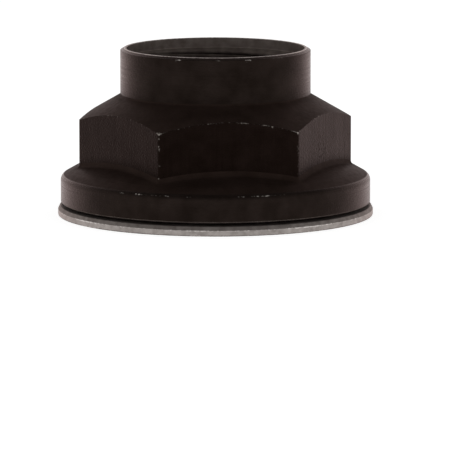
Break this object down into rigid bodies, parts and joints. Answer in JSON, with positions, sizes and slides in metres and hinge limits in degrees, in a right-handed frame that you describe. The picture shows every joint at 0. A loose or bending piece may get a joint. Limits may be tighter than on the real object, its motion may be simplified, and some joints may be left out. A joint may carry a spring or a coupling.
{
  "type": "spindle nut",
  "caption": "Flanged hexagonal spindle nut with a thin staking collar above the flats and a loose captive washer under the flange.",
  "frame": {"origin": "centre of the washer's lower face, the face that bears on the hub", "axes": "+Z along the thread axis from the bearing face to the collar; two opposite flats of the hexagon face -Y and +Y"},
  "size_m": [0.0398, 0.0398, 0.0211],
  "materials": {
    "nut_black_oxide_steel": "black-oxide steel, satin, with worn bright edges",
    "washer_plain_steel": "plain rolled steel, sheared rim"
  },
  "bodies": {
    "nut": {"nut": "nut_black_oxide_steel"},
    "captive_washer": {"captive_washer": "washer_plain_steel"}
  },
  "joints": [
    {"name": "washer_spin", "type": "hinge", "parent": "nut", "child": "captive_washer", "pos_m": [0, 0, 0.0006], "axis": [0, 0, 1], "continuous": true}
  ]
}
